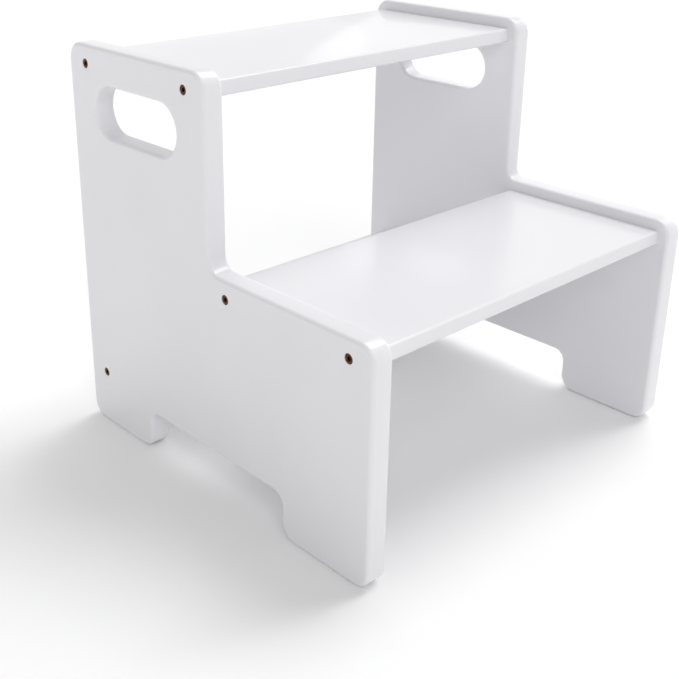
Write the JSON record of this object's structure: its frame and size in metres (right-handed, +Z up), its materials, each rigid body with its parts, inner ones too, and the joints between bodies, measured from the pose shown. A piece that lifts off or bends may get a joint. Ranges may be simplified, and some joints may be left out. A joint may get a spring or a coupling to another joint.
{
  "type": "step stool",
  "caption": "Low wooden step stool: stepped side panels with hand slots carry treads at different heights, with a brace low at the rear.",
  "frame": {"origin": "on the floor, at the centre of the stool's footprint", "axes": "+X across the stool, towards the right-hand side panel as seen from the front; the user steps up from -Y towards +Y; +Z up"},
  "size_m": [0.365, 0.338, 0.33],
  "materials": {
    "white_lacquer": "smooth satin white lacquer",
    "bronze_screw": "dark bronze plating",
    "beech_dowel": "plain turned beech"
  },
  "bodies": {
    "root": {"left_side_panel": "white_lacquer", "right_side_panel": "white_lacquer", "upper_tread": "white_lacquer", "lower_tread": "white_lacquer", "rear_brace": "white_lacquer", "left_upper_front_screw": "bronze_screw", "left_upper_rear_screw": "bronze_screw", "left_lower_front_screw": "bronze_screw", "left_lower_rear_screw": "bronze_screw", "left_brace_screw": "bronze_screw", "right_upper_front_screw": "bronze_screw", "right_upper_rear_screw": "bronze_screw", "right_lower_front_screw": "bronze_screw", "right_lower_rear_screw": "bronze_screw", "right_brace_screw": "bronze_screw", "left_brace_upper_dowel": "beech_dowel", "left_brace_lower_dowel": "beech_dowel", "right_brace_upper_dowel": "beech_dowel", "right_brace_lower_dowel": "beech_dowel"}
  },
  "joints": []
}
